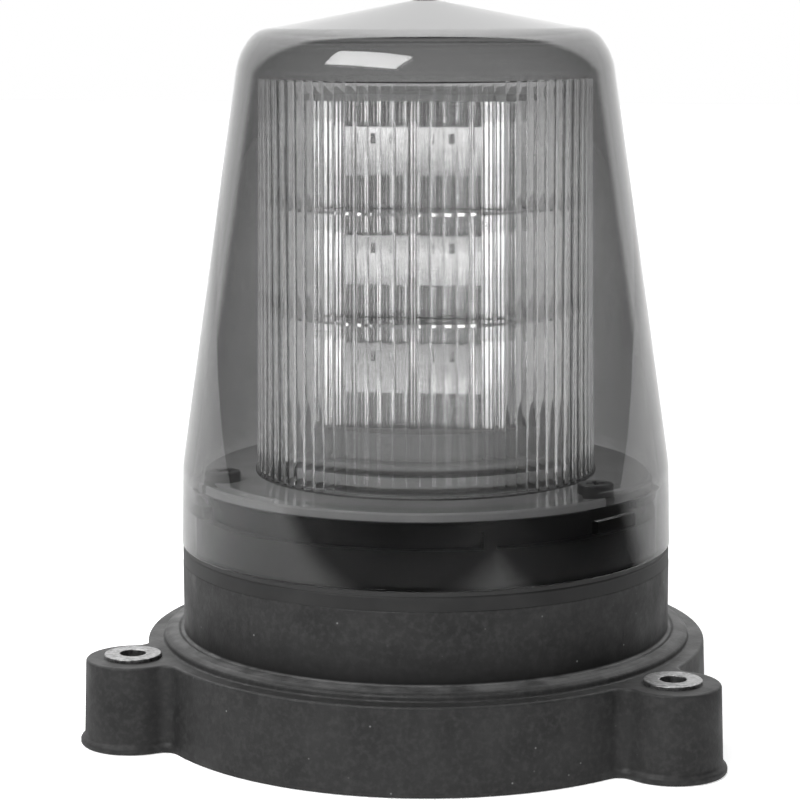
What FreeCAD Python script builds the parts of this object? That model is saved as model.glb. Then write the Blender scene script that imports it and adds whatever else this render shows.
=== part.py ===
import FreeCAD, Part
import math
import os

Vector = FreeCAD.Vector
UP = Vector(0, 0, 1)
CENTRE = Vector(0, 0, 0)

# Driving dimensions in millimetres, angles in degrees.
# The origin is the centre of the mounting face, +Z points up through the dome.

# Rubber foot: mounting ring with three lugs, and the neck above it
hole_circle = 130.0
lug_count = 3
first_lug_angle = 90.0
lug_overhang = 5.0
lug_radius = 9.8
lug_blend = 3.0
lug_lip = 0.8
lug_lip_height = 1.6
ring_height = 18.1
foot_draft = 0.6
edge_ease = 0.45
small_ease = 0.4
cut_margin = 1.0
ring_ledge = 7.75
bead_width = 4.4
bead_height = 2.2
bead_crest_inset = 1.3
bead_crest_drop = 0.8
bead_flank_inset = 1.2
bead_flank_drop = 0.4
bead_foot_lift = 0.25
bead_ease = 0.8
neck_root_inset = 1.5
neck_height = 17.1
neck_wall = 3.75
foot_groove_width = 3.6
foot_groove_depth = 9.0
foot_groove_inset = 4.0
retaining_lip = 4.5
retaining_lip_lift = 1.5

# Flanged bushes in the lugs
bush_bore = 5.3
bush_wall = 1.5
bush_flange = 12.0
bush_flange_thickness = 0.8
bush_ease = 0.25
bush_clearance = 0.05

# Base housing: cup, collar and the spigot that carries the dome
housing_lift = 5.0
housing_floor = 3.0
housing_wall = 3.4
housing_clearance = 0.1
collar_height = 2.95
collar_inset = 0.05
spigot_height = 14.3
spigot_clearance = 0.4
groove_height = 3.6
groove_depth = 2.0
spigot_rim = 1.95
housing_ease = 0.3
notch_lift = 0.5
stop_root = 0.5
boss_pilot = 1.25
boss_pilot_depth = 12.0

# Dome and its bayonet
dome_height = 114.4
dome_wall = 2.5
skirt_step = 0.2
skirt_height = 17.0
skirt_draft = 0.45
wall_lean = 8.38
crown_rise = 10.3
shoulder_round = 7.0
gate_radius = 2.6
gate_height = 0.4
bayonet_width = 14.0
bayonet_height = 2.6
bayonet_reach = 1.5
bayonet_turn = 25.0
bayonet_clearance = 0.3
bayonet_side_clearance = 1.5
stop_width = 3.0

# Flat seal under the dome's edge
seal_thickness = 0.75
seal_gap = 0.05
seal_inset = 0.5

# Carrier disc and its screws
carrier_thickness = 1.8
carrier_clearance = 0.4
carrier_screw_inset = 3.6
screw_head_radius = 3.5
screw_head_height = 2.1
screw_head_ease = 0.4
screw_shank = 1.2
screw_length = 9.0
screw_hole = 1.4

# Fluted inner lens
flute_count = 88
flute_depth = 0.4
lens_wall = 2.1
lens_cap = 2.0
lens_ceiling_ease = 1.0
lens_taper = 1.0
lens_side_gap = 2.4
lens_headroom = 9.35
lens_flange_width = 0.4
lens_flange_height = 0.8

# Lamp tower: four faces with two columns and three tiers of leaning reflector scoops
tower_angle = 3.0
face_count = 4
tier_count = 3
column_count = 2
tower_gap = 3.6
tower_head_gap = 0.9
face_half_angle = 38.5
tower_foot_height = 12.25
foot_step_height = 6.6
foot_ring_height = 1.4
foot_ring_depth = 3.2
foot_ring_lifts = (0.5, 4.1)
reflector_depth = 5.4
mitre_gap = 0.2
rib_radius = 1.2
rib_rise = 0.9
wing_width = 4.6
wing_fall = 1.4
scoop_lintel = 4.2
scoop_sill = 7.4
scoop_side = 0.3
scoop_depth = 3.0
scoop_hollow = 0.22
lamp_drop = 3.4
led_size = 2.4
led_height = 0.8
led_window = 1.8
led_window_height = 0.7
led_clearance = 0.2
board_thickness = 1.6
core_wall = 2.5
core_inner_ease = 1.0
core_sink = 7.5
tier_ring_thickness = 0.6
tier_ring_gap = 0.3
tower_cap_thickness = 1.4
tie_radius = 2.0
tie_clearance = 0.15
tie_head_radius = 4.2
tie_head_ease = 0.2
nut_flats = 7.0
nut_height = 3.2

# Driver electronics in the housing
post_height = 6.0
post_radius = 3.0
post_inset = 7.35
post_turn = 60.0
board_side_gap = 1.0
board_screw_head = 2.75
board_screw_head_height = 2.0
board_screw_length = 6.0
board_hole = 1.6
capacitor_radius = 5.0
capacitor_height = 14.0
capacitor_ease = 0.7
capacitor_spacing = 14.0
capacitor_offset = 19.0
choke_radius = 7.0
choke_height = 8.5
choke_waist = 1.6
choke_cheek = 1.5
choke_offset = 21.0
terminal_width = 16.0
terminal_depth = 9.0
terminal_height = 11.0
terminal_offset = 20.0
terminal_screw_radius = 1.9
terminal_screw_sink = 1.2
terminal_screw_clearance = 0.2
terminal_slot_width = 0.6
terminal_slot_depth = 0.7
terminal_mouth = 5.0
terminal_mouth_lift = 1.2
socket_width = 7.0
socket_length = 9.0
socket_height = 6.0
lead_offset = 8.5
lead_radius = 0.9
lead_spacing = 4.0
plug_clearance = 0.25
plug_drop = 3.2

# Cable grommet in the housing floor
cable_bore = 3.5
grommet_wall = 2.9
grommet_flange = 2.1
grommet_flange_height = 1.8
grommet_ease = 0.6
grommet_clearance = 0.1

# Sizes that follow from the driving dimensions
lug_circle = hole_circle / 2
lug_angles = [first_lug_angle + 360.0 / lug_count * i for i in range(lug_count)]
ring_radius = lug_circle - lug_overhang
neck_radius = ring_radius - ring_ledge
neck_bore = neck_radius - neck_wall
neck_top = ring_height + neck_height
bush_radius = bush_bore / 2 + bush_wall
housing_radius = neck_bore - housing_clearance
housing_bore = housing_radius - housing_wall
floor_top = housing_lift + housing_floor
collar_radius = neck_radius - collar_inset
collar_top = neck_top + collar_height
spigot_top = collar_top + spigot_height
groove_top = spigot_top - spigot_rim
groove_bottom = groove_top - groove_height
seal_bottom = collar_top + seal_gap
dome_bottom = seal_bottom + seal_thickness + 2 * seal_gap
skirt_radius = neck_radius + skirt_step
skirt_top = dome_bottom + skirt_height
skirt_top_radius = skirt_radius - skirt_draft
skirt_bore = skirt_radius - dome_wall
dome_apex = dome_bottom + dome_height
spigot_radius = skirt_bore - spigot_clearance
groove_radius = spigot_radius - groove_depth
bayonet_inner = skirt_bore - bayonet_reach
bayonet_bottom = (groove_bottom + groove_top - bayonet_height) / 2
carrier_radius = bayonet_inner - carrier_clearance
carrier_top = spigot_top + carrier_thickness
carrier_screw_circle = carrier_radius - carrier_screw_inset
boss_radius = groove_radius - carrier_screw_circle
lean = math.tan(math.radians(wall_lean))
rise = math.tan(math.radians(crown_rise))
wall_across = dome_wall / math.cos(math.radians(wall_lean))
wall_upright = dome_wall / math.cos(math.radians(crown_rise))


def crown_corner(wall_radius, apex):
    """Radius and height where the leaning wall meets the crown."""
    radius = (wall_radius - (apex + gate_radius * rise - skirt_top) * lean) / (1 - rise * lean)
    return radius, apex - (radius - gate_radius) * rise


dome_corner = crown_corner(skirt_top_radius, dome_apex)
inner_corner = crown_corner(skirt_top_radius - wall_across, dome_apex - wall_upright)
lens_top = dome_corner[1] - lens_headroom
lens_bottom = carrier_top + lens_flange_height
lens_top_radius = skirt_top_radius - wall_across - (lens_top - skirt_top) * lean - lens_side_gap
lens_base_radius = lens_top_radius + lens_taper
lens_top_bore = lens_top_radius - flute_depth - lens_wall
lens_base_bore = lens_top_bore + lens_taper
tower_bottom = carrier_top + tower_foot_height
tower_top = lens_top - lens_cap - tower_head_gap
reflector_top = tower_top - tower_cap_thickness
tier_pitch = (reflector_top - tower_bottom) / tier_count
tower_reach = lens_top_bore - tower_gap
face_half_width = tower_reach * math.sin(math.radians(face_half_angle))
face_front = tower_reach * math.cos(math.radians(face_half_angle))
face_back = face_front - reflector_depth
core_half = face_back - board_thickness
core_bottom = tower_bottom - core_sink
plate_front = face_front - rib_rise
wing_start = face_half_width - wing_width
rib_foot = math.sqrt(rib_radius ** 2 - (rib_radius - rib_rise) ** 2)
column_spacing = 2 * (wing_start + rib_foot) / column_count
scoop_width = column_spacing - 2 * (rib_foot + scoop_side)
scoop_height = tier_pitch - scoop_lintel - scoop_sill
driver_bottom = floor_top + post_height
driver_top = driver_bottom + board_thickness
driver_radius = carrier_screw_circle - boss_radius - board_side_gap
post_circle = driver_radius - post_inset
socket_top = driver_top + socket_height
plug_bottom = spigot_top - plug_drop
plug_top = core_bottom - plug_drop / 2
grommet_hole = cable_bore + grommet_wall


# Shared shapes

def polar(radius, angle, height=0.0):
    """A point at a radius and an angle about the axis."""
    turn = math.radians(angle)
    return Vector(radius * math.cos(turn), radius * math.sin(turn), height)


def outline(corners, rounded=False):
    """A closed outline through (point, ease) corners, eased by a bevel or, if rounded, by an arc."""
    runs = []
    for i, (point, ease) in enumerate(corners):
        before = (corners[i - 1][0] - point).normalize()
        after = (corners[(i + 1) % len(corners)][0] - point).normalize()
        half = before.getAngle(after) / 2
        reach = ease / math.tan(half) if rounded else ease
        inward = (before + after) * (0.5 / math.cos(half))
        middle = point + inward * (ease / math.sin(half) - ease)
        runs.append((point + before * reach, middle, point + after * reach))
    edges = []
    for i, (start, middle, end) in enumerate(runs):
        if start.distanceToPoint(end) > 1e-6:
            edges.append(Part.Arc(start, middle, end).toShape() if rounded else Part.makeLine(start, end))
        following = runs[(i + 1) % len(runs)][0]
        if end.distanceToPoint(following) > 1e-6:
            edges.append(Part.makeLine(end, following))
    return Part.Wire(edges)


def revolved(profile, start=0.0, sweep=360.0, rounded=False):
    """Turn a profile of (radius, height) or (radius, height, ease) about the axis."""
    corners = [(Vector(p[0], 0, p[1]), p[2] if len(p) > 2 else 0) for p in profile]
    shape = Part.Face(outline(corners, rounded)).revolve(CENTRE, UP, sweep)
    shape.rotate(CENTRE, UP, start)
    return shape


def tube(outer, inner, bottom, top, start=0.0, sweep=360.0):
    """A ring, or a sector of one, between two radii and two heights."""
    return revolved([(inner, bottom), (outer, bottom), (outer, top), (inner, top)], start, sweep)


def post(radius, bottom, top, centre=CENTRE):
    """An upright round post."""
    return Part.makeCylinder(radius, top - bottom, Vector(centre.x, centre.y, bottom))


def block(width, depth, bottom, top, centre=CENTRE):
    """An upright box about a centre in plan."""
    corner = Vector(centre.x - width / 2, centre.y - depth / 2, bottom)
    return Part.makeBox(width, depth, top - bottom, corner)


def about_axis(shape, angles):
    """Copies of a shape turned about the axis."""
    copies = []
    for angle in angles:
        copy = shape.copy()
        copy.rotate(CENTRE, UP, angle)
        copies.append(copy)
    return copies


def pan_screw(head_radius, head_height, shank_radius, length, seat):
    """A pan-head screw standing on the axis with its head on the seat height."""
    return revolved([
        (0, seat - length), (shank_radius, seat - length), (shank_radius, seat),
        (head_radius, seat), (head_radius, seat + head_height, head_height / 2), (0, seat + head_height),
    ])


# Rubber foot and its bushes

def foot_outline(ring, lug, height):
    """Ring outline with the lugs blended in by hollow fillets."""
    blend_circle = ring + lug_blend
    spread = math.degrees(math.acos(
        (blend_circle ** 2 + lug_circle ** 2 - (lug + lug_blend) ** 2) / (2 * lug_circle * blend_circle)))
    edges = []
    for angle in lug_angles:
        centre = polar(lug_circle, angle, height)
        ring_points = []
        lug_points = []
        hollows = []
        for side in (-1, 1):
            hollow = polar(blend_circle, angle + side * spread, height)
            ring_points.append(polar(ring, angle + side * spread, height))
            lug_points.append(centre + (hollow - centre).normalize() * lug)
            towards = (ring_points[-1] + lug_points[-1]) * 0.5 - hollow
            hollows.append(hollow + towards.normalize() * lug_blend)
        tip = centre + polar(lug, angle)
        gap = 360.0 / lug_count
        next_start = polar(ring, angle + gap - spread, height)
        edges.append(Part.Arc(ring_points[0], hollows[0], lug_points[0]).toShape())
        edges.append(Part.Arc(lug_points[0], tip, lug_points[1]).toShape())
        edges.append(Part.Arc(lug_points[1], hollows[1], ring_points[1]).toShape())
        edges.append(Part.Arc(ring_points[1], polar(ring, angle + gap / 2, height), next_start).toShape())
    return Part.Wire(edges)


def make_rubber_foot():
    """Mounting ring, lugs, rounded bead and neck, moulded in one piece."""
    ring = Part.makeLoft([
        foot_outline(ring_radius + foot_draft, lug_radius + foot_draft, 0),
        foot_outline(ring_radius, lug_radius, ring_height - edge_ease),
        foot_outline(ring_radius - edge_ease, lug_radius - edge_ease, ring_height),
    ], True, True)
    bead_radius = neck_radius + bead_width
    neck_root = ring_radius - neck_root_inset
    bead_top = ring_height + bead_height
    neck = revolved([
        (neck_bore, housing_lift), (neck_bore, neck_top), (neck_radius, neck_top),
        (neck_radius, bead_top - bead_crest_drop, small_ease),
        (neck_radius + bead_crest_inset, bead_top, bead_ease),
        (bead_radius - bead_flank_inset, bead_top - bead_flank_drop, bead_ease),
        (bead_radius, ring_height + bead_foot_lift, bead_ease),
        (neck_root, ring_height - edge_ease), (neck_root, housing_lift),
    ])
    lip = lug_radius + foot_draft + lug_lip
    lips = [post(lip, 0, lug_lip_height, polar(lug_circle, angle)) for angle in lug_angles]
    body = ring.multiFuse([neck] + lips)
    retaining_radius = neck_bore - retaining_lip
    well = revolved([
        (0, -cut_margin), (neck_bore - retaining_lip / 2, -cut_margin), (neck_bore - retaining_lip / 2, 0),
        (retaining_radius, retaining_lip_lift), (retaining_radius, housing_lift),
        (neck_bore, housing_lift), (neck_bore, neck_top + cut_margin), (0, neck_top + cut_margin),
    ])
    groove_outer = ring_radius - foot_groove_inset
    groove = tube(groove_outer, groove_outer - foot_groove_width, -cut_margin, foot_groove_depth)
    hole = bush_radius + bush_clearance
    holes = [post(hole, -cut_margin, ring_height + cut_margin, polar(lug_circle, angle))
             for angle in lug_angles]
    return body.cut([well, groove] + holes).removeSplitter()


def make_lug_bushes():
    """Flanged sleeves that take the mounting screws."""
    flange_top = ring_height + bush_flange_thickness
    bush = revolved([
        (bush_bore / 2, 0), (bush_radius, 0), (bush_radius, ring_height), (bush_flange / 2, ring_height),
        (bush_flange / 2, flange_top, bush_ease), (bush_bore / 2, flange_top),
    ])
    bush.translate(Vector(lug_circle, 0, 0))
    return Part.makeCompound(about_axis(bush, lug_angles))


# Base housing with the bayonet spigot

def make_base_housing():
    """Cup that plugs into the foot, with the collar, the grooved spigot and the inner posts."""
    shell = revolved([
        (grommet_hole, housing_lift), (housing_radius, housing_lift), (housing_radius, neck_top),
        (collar_radius, neck_top), (collar_radius, collar_top, housing_ease), (spigot_radius, collar_top),
        (spigot_radius, groove_bottom), (groove_radius, groove_bottom), (groove_radius, groove_top),
        (spigot_radius, groove_top), (spigot_radius, spigot_top, housing_ease), (housing_bore, spigot_top),
        (housing_bore, floor_top), (grommet_hole, floor_top),
    ])
    added = []
    cuts = []
    notch = bayonet_width + 2 * bayonet_side_clearance
    for angle in lug_angles:
        boss = polar(carrier_screw_circle, angle)
        added.append(post(boss_radius, floor_top, spigot_top, boss))
        cuts.append(post(boss_pilot, spigot_top - boss_pilot_depth, spigot_top + cut_margin, boss))
        standing = polar(post_circle, angle + post_turn)
        added.append(post(post_radius, floor_top, driver_bottom, standing))
        cuts.append(post(boss_pilot, floor_top, driver_bottom + cut_margin, standing))
        cuts.append(tube(spigot_radius + cut_margin, bayonet_inner - bayonet_clearance,
                         groove_bottom + notch_lift, spigot_top + cut_margin, angle - notch / 2, notch))
        stop_angle = angle - bayonet_turn - bayonet_width / 2 - bayonet_side_clearance - stop_width
        added.append(tube(spigot_radius, groove_radius - stop_root, groove_bottom, groove_top,
                          stop_angle, stop_width))
    return shell.multiFuse(added).cut(cuts).removeSplitter()


def make_cable_grommet():
    """Rubber grommet that snaps into the hole in the housing floor."""
    waist = grommet_hole - grommet_clearance
    flange = grommet_hole + grommet_flange
    top = floor_top + grommet_flange_height
    bottom = housing_lift - grommet_flange_height
    return revolved([
        (cable_bore, bottom), (flange, bottom, grommet_ease), (flange, housing_lift), (waist, housing_lift),
        (waist, floor_top), (flange, floor_top), (flange, top, grommet_ease), (cable_bore, top),
    ])


# Driver electronics

def lead_places():
    """Plan positions of the two lamp leads."""
    return [Vector(lead_offset, side * lead_spacing / 2, 0) for side in (-1, 1)]


def board_screw_places():
    """Plan positions of the driver board's screws."""
    return [polar(post_circle, angle + post_turn) for angle in lug_angles]


def make_driver_board():
    """Round circuit board on the housing's posts."""
    board = post(driver_radius, driver_bottom, driver_top)
    holes = [post(board_hole, driver_bottom - cut_margin, driver_top + cut_margin, place)
             for place in board_screw_places()]
    return board.cut(holes)


def make_board_screws():
    """Screws that hold the driver board on its posts."""
    screw = pan_screw(board_screw_head, board_screw_head_height, screw_shank, board_screw_length, driver_top)
    screw.translate(Vector(post_circle, 0, 0))
    return Part.makeCompound(about_axis(screw, [angle + post_turn for angle in lug_angles]))


def make_capacitors():
    """Two upright capacitor cans on the driver board."""
    can = revolved([
        (0, driver_top), (capacitor_radius, driver_top, capacitor_ease),
        (capacitor_radius, driver_top + capacitor_height, capacitor_ease), (0, driver_top + capacitor_height),
    ])
    cans = []
    for side in (-1, 1):
        copy = can.copy()
        copy.translate(Vector(-capacitor_offset, side * capacitor_spacing / 2, 0))
        cans.append(copy)
    return Part.makeCompound(cans)


def make_choke():
    """Wound drum choke on the driver board."""
    waist = choke_radius - choke_waist
    top = driver_top + choke_height
    drum = revolved([
        (0, driver_top), (choke_radius, driver_top), (choke_radius, driver_top + choke_cheek),
        (waist, driver_top + choke_cheek), (waist, top - choke_cheek), (choke_radius, top - choke_cheek),
        (choke_radius, top), (0, top),
    ])
    drum.translate(Vector(0, choke_offset, 0))
    return drum


def make_terminal_block():
    """Two-way screw terminal for the supply cable."""
    centre = Vector(0, -terminal_offset, 0)
    top = driver_top + terminal_height
    body = block(terminal_width, terminal_depth, driver_top, top, centre)
    cuts = []
    for place in terminal_places():
        cuts.append(post(terminal_screw_radius + terminal_screw_clearance, top - 2 * terminal_screw_sink,
                         top + cut_margin, place))
        mouth_bottom = driver_top + terminal_mouth_lift
        mouth = block(terminal_mouth, terminal_depth / 2, mouth_bottom, mouth_bottom + terminal_mouth,
                      place - Vector(0, terminal_depth / 2, 0))
        cuts.append(mouth)
    return body.cut(cuts)


def terminal_places():
    """Plan positions of the two terminal screws."""
    return [Vector(side * terminal_width / 4, -terminal_offset, 0) for side in (-1, 1)]


def make_terminal_screws():
    """Slotted clamp screws of the terminal block."""
    top = driver_top + terminal_height - terminal_screw_sink
    bottom = driver_top + terminal_height - 2 * terminal_screw_sink
    screws = []
    for place in terminal_places():
        head = post(terminal_screw_radius, bottom, top, place)
        slot = block(2 * terminal_screw_radius + cut_margin, terminal_slot_width, top - terminal_slot_depth,
                     top + cut_margin, place)
        screws.append(head.cut(slot))
    return Part.makeCompound(screws)


def make_driver_socket():
    """Lead socket on the driver board."""
    return block(socket_width, socket_length, driver_top, socket_top, Vector(lead_offset, 0, 0))


def make_led_leads():
    """Two leads from the driver board up to the lamp tower."""
    return Part.makeCompound([post(lead_radius, socket_top, plug_bottom, place) for place in lead_places()])


def make_tower_plug():
    """Plug at the foot of the lamp tower that the leads end in."""
    return block(socket_width, socket_length, plug_bottom, plug_top, Vector(lead_offset, 0, 0))


# Carrier disc

def make_carrier_disc():
    """Plate that closes the housing and carries the lens and the lamp tower."""
    disc = revolved([
        (0, spigot_top), (carrier_radius, spigot_top), (carrier_radius, carrier_top, small_ease),
        (0, carrier_top),
    ])
    cuts = [post(screw_hole, spigot_top - cut_margin, carrier_top + cut_margin,
                 polar(carrier_screw_circle, angle)) for angle in lug_angles]
    slot_length = carrier_screw_inset + cut_margin
    slot = block(slot_length, 2 * screw_hole, spigot_top - cut_margin, carrier_top + cut_margin,
                 Vector(carrier_screw_circle + slot_length / 2, 0, 0))
    cuts.extend(about_axis(slot, lug_angles))
    cuts.append(post(tie_radius + tie_clearance, spigot_top - cut_margin, carrier_top + cut_margin))
    cuts.append(block(socket_width + 2 * plug_clearance, socket_length + 2 * plug_clearance,
                      spigot_top - cut_margin, carrier_top + cut_margin, Vector(lead_offset, 0, 0)))
    return disc.cut(cuts)


def make_carrier_screws():
    """Low-head screws in the open slots at the edge of the carrier disc."""
    head_top = carrier_top + screw_head_height
    screw_tip = carrier_top - screw_length
    screw = revolved([
        (0, screw_tip), (screw_shank, screw_tip), (screw_shank, carrier_top),
        (screw_head_radius, carrier_top), (screw_head_radius, head_top, screw_head_ease), (0, head_top),
    ])
    screw.translate(Vector(carrier_screw_circle, 0, 0))
    return Part.makeCompound(about_axis(screw, lug_angles))


# Lamp tower

def on_faces(shape):
    """Copies of a face-mounted shape on every face of the tower."""
    step = 360.0 / face_count
    return about_axis(shape, [tower_angle + step * i for i in range(face_count)])


def tier_bottoms():
    """Heights at which the tiers of the tower begin."""
    return [tower_bottom + tier * tier_pitch for tier in range(tier_count)]


def column_centres():
    """Offsets across one face of the middles of its columns."""
    return [(column - (column_count - 1) / 2) * column_spacing for column in range(column_count)]


def lamp_places():
    """Offset across and height of every lamp on one face."""
    heights = [bottom + scoop_sill + scoop_height - lamp_drop for bottom in tier_bottoms()]
    return [(across, height) for height in heights for across in column_centres()]


def scoop(across, bottom):
    """Cut for one leaning scoop, deepest at its top edge and hollowed a little down its length."""
    top = bottom + scoop_height
    left = across - scoop_width / 2
    lip = Vector(plate_front, left, bottom)
    back = Vector(plate_front - scoop_depth, left, top)
    lean = (back - lip).normalize()
    middle = (lip + back) / 2 - Vector(lean.z, 0, -lean.x) * scoop_hollow
    front = plate_front + cut_margin
    corners = [back, Vector(front, left, top), Vector(front, left, bottom), lip]
    profile = Part.Wire([Part.Arc(lip, middle, back).toShape()] + Part.makePolygon(corners).Edges)
    return Part.Face(profile).extrude(Vector(0, scoop_width, 0))


def make_reflector():
    """Bright reflector plate of one face, with wings, ribs and a leaning scoop and window for every lamp."""
    back_half = face_back - mitre_gap
    side = face_half_width + mitre_gap
    wing_end = plate_front - wing_fall
    plan = [(face_back, -back_half), (side, -face_half_width), (wing_end, -face_half_width),
            (plate_front, -wing_start), (plate_front, wing_start), (wing_end, face_half_width),
            (side, face_half_width), (face_back, back_half)]
    outline = Part.makePolygon([Vector(x, y, tower_bottom) for x, y in plan + plan[:1]])
    plate = Part.Face(outline).extrude(UP * (reflector_top - tower_bottom))
    ribs = []
    for i in range(1, column_count):
        place = Vector(face_front - rib_radius, (i - column_count / 2) * column_spacing, 0)
        ribs.append(post(rib_radius, tower_bottom, reflector_top, place))
    cuts = [scoop(across, bottom + scoop_sill) for bottom in tier_bottoms() for across in column_centres()]
    window = led_size + 2 * led_clearance
    for across, height in lamp_places():
        corner = Vector(face_back - cut_margin, across - window / 2, height - window / 2)
        cuts.append(Part.makeBox(reflector_depth, window, window, corner))
    return plate.fuse(ribs).cut(cuts).removeSplitter()


def make_led_board():
    """Lamp board of one face."""
    width = 2 * (core_half - mitre_gap)
    middle = Vector(face_back - board_thickness / 2, 0, 0)
    return block(board_thickness, width, tower_bottom, reflector_top, middle)


def make_leds():
    """The lamps of one face, each a square package with a raised window."""
    front = face_back + led_height
    lamps = []
    for across, height in lamp_places():
        corner = Vector(face_back, across - led_size / 2, height - led_size / 2)
        package = Part.makeBox(led_height, led_size, led_size, corner)
        corner = Vector(front, across - led_window / 2, height - led_window / 2)
        window = Part.makeBox(led_window_height, led_window, led_window, corner)
        lamps.append(package.fuse(window))
    return Part.makeCompound(lamps)


def square_section(half, rounding, height):
    """Rounded square about the axis, turned to the tower's faces."""
    wire = outline([(Vector(a * half, b * half, height), rounding)
                         for a, b in [(-1, -1), (1, -1), (1, 1), (-1, 1)]])
    wire.rotate(CENTRE, UP, tower_angle)
    return wire


def square_post(half, rounding, bottom, top):
    """Upright post of rounded square section."""
    return Part.Face(square_section(half, rounding, bottom)).extrude(UP * (top - bottom))


def make_tower_core():
    """Square metal tube that carries the lamp boards and takes their heat."""
    outer = square_post(core_half, small_ease, core_bottom, reflector_top)
    inner = square_post(core_half - core_wall, core_inner_ease, core_bottom - cut_margin,
                        reflector_top + cut_margin)
    return outer.cut(inner)


def lens_bore(height):
    """Inner radius of the lens at a height."""
    share = (lens_top - height) / (lens_top - lens_bottom)
    return lens_top_bore + lens_taper * share


def make_tower_foot():
    """Stepped pedestal that centres the lens and holds the foot of the core."""
    spigot = lens_base_bore - tier_ring_gap
    step_top = carrier_top + foot_step_height
    body = revolved([
        (0, carrier_top), (spigot, carrier_top), (spigot, step_top - small_ease),
        (spigot - small_ease, step_top), (tower_reach, step_top), (tower_reach, tower_bottom),
        (0, tower_bottom),
    ])
    rings = []
    for lift in foot_ring_lifts:
        bottom = carrier_top + lift
        rings.append(tube(spigot + cut_margin, spigot - foot_ring_depth, bottom, bottom + foot_ring_height))
    socket = square_post(core_half + mitre_gap / 2, small_ease, core_bottom, tower_bottom + cut_margin)
    bolt_hole = post(tie_radius + tie_clearance, carrier_top - cut_margin, tower_bottom + cut_margin)
    pocket = block(socket_width + 2 * plug_clearance, socket_length + 2 * plug_clearance,
                   carrier_top - cut_margin, plug_top, Vector(lead_offset, 0, 0))
    return body.cut([socket, bolt_hole, pocket] + rings)


def make_tier_ring(tier):
    """Round locating ring between two tiers, slipped over the reflectors."""
    bottom = tower_bottom + tier * tier_pitch
    top = bottom + tier_ring_thickness
    disc = post(lens_bore(top) - tier_ring_gap, bottom, top)
    front = face_front + mitre_gap
    half = face_half_width + mitre_gap
    plan = []
    for i in range(face_count):
        turn = tower_angle + 360.0 / face_count * i
        for across in (-half, half):
            corner = Vector(front, across, bottom - cut_margin)
            plan.append(FreeCAD.Rotation(UP, turn).multVec(corner))
    window = Part.Face(Part.makePolygon(plan + plan[:1])).extrude(UP * (tier_ring_thickness + 2 * cut_margin))
    return disc.cut(window)


def make_tower_cap():
    """Square cap that the tie bolt draws down on the core and the reflectors."""
    plate = square_post(face_front, face_front - face_half_width, reflector_top, tower_top)
    depth = tie_head_radius - tie_radius
    sink = revolved([
        (0, reflector_top - cut_margin), (tie_radius + tie_clearance, reflector_top - cut_margin),
        (tie_radius + tie_clearance, tower_top - tower_cap_thickness / 2),
        (tie_head_radius + tie_clearance, tower_top - tower_cap_thickness / 2),
        (tie_head_radius + tie_clearance, tower_top + depth), (0, tower_top + depth),
    ])
    return plate.cut(sink)


def make_tie_bolt():
    """Long bolt down the middle of the tower, its flat head let into the cap."""
    seat = tower_top - tower_cap_thickness / 2
    end = spigot_top - nut_height - tie_radius
    return revolved([
        (0, end), (tie_radius, end, small_ease), (tie_radius, seat), (tie_head_radius, seat),
        (tie_head_radius, tower_top, tie_head_ease), (0, tower_top),
    ])


def make_tie_nut():
    """Hexagon nut that pulls the tie bolt up under the carrier disc."""
    across_corners = nut_flats / math.sqrt(3)
    bottom = spigot_top - nut_height
    corners = [polar(across_corners, 60.0 * i + 30.0, bottom) for i in range(7)]
    nut = Part.Face(Part.makePolygon(corners)).extrude(UP * nut_height)
    return nut.cut(post(tie_radius + bush_clearance, bottom - cut_margin, spigot_top + cut_margin))


# Fluted lens

def fluted_outline(crest, height):
    """Outline of touching convex flutes."""
    valley = crest - flute_depth
    step = 360.0 / flute_count
    edges = []
    for i in range(flute_count):
        start = polar(valley, i * step, height)
        middle = polar(crest, (i + 0.5) * step, height)
        end = polar(valley, (i + 1) % flute_count * step, height)
        edges.append(Part.Arc(start, middle, end).toShape())
    return Part.Wire(edges)


def make_inner_lens():
    """Clear fluted cup over the lamp tower, closed at the top, on a plain flange."""
    fluted = Part.makeLoft([fluted_outline(lens_base_radius, lens_bottom),
                            fluted_outline(lens_top_radius, lens_top)], True, True)
    flange = revolved([
        (0, carrier_top), (lens_base_radius + lens_flange_width, carrier_top),
        (lens_base_radius + lens_flange_width, lens_bottom, small_ease), (0, lens_bottom),
    ])
    ceiling = lens_top - lens_cap
    hollow = revolved([
        (0, carrier_top - cut_margin), (lens_bore(lens_bottom), carrier_top - cut_margin),
        (lens_bore(lens_bottom), lens_bottom), (lens_bore(ceiling), ceiling, lens_ceiling_ease), (0, ceiling),
    ])
    return flange.fuse(fluted).cut(hollow).removeSplitter()


# Dome and seal

def make_dome_seal():
    """Flat rubber ring between the collar and the dome's edge."""
    return tube(skirt_radius - seal_inset, spigot_radius + bayonet_clearance, seal_bottom,
                seal_bottom + seal_thickness)


def make_dome():
    """Clear dome: upright skirt, leaning wall, rounded shoulder, shallow crown and bayonet lugs."""
    inner_bend = skirt_top - (skirt_bore - skirt_top_radius + wall_across) / lean
    gate_top = dome_apex + gate_height
    shell = revolved([
        (skirt_bore, dome_bottom), (skirt_radius, dome_bottom), (skirt_top_radius, skirt_top),
        (dome_corner[0], dome_corner[1], shoulder_round), (gate_radius, dome_apex),
        (gate_radius, gate_top), (0, gate_top), (0, dome_apex - wall_upright + gate_radius * rise),
        (inner_corner[0], inner_corner[1], shoulder_round - dome_wall), (skirt_bore, inner_bend),
    ], rounded=True)
    lugs = [tube(skirt_bore + dome_wall / 4, bayonet_inner, bayonet_bottom, bayonet_bottom + bayonet_height,
                 angle - bayonet_width / 2, bayonet_width) for angle in lug_angles]
    return shell.multiFuse(lugs).removeSplitter()


# Every piece by its node name

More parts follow.
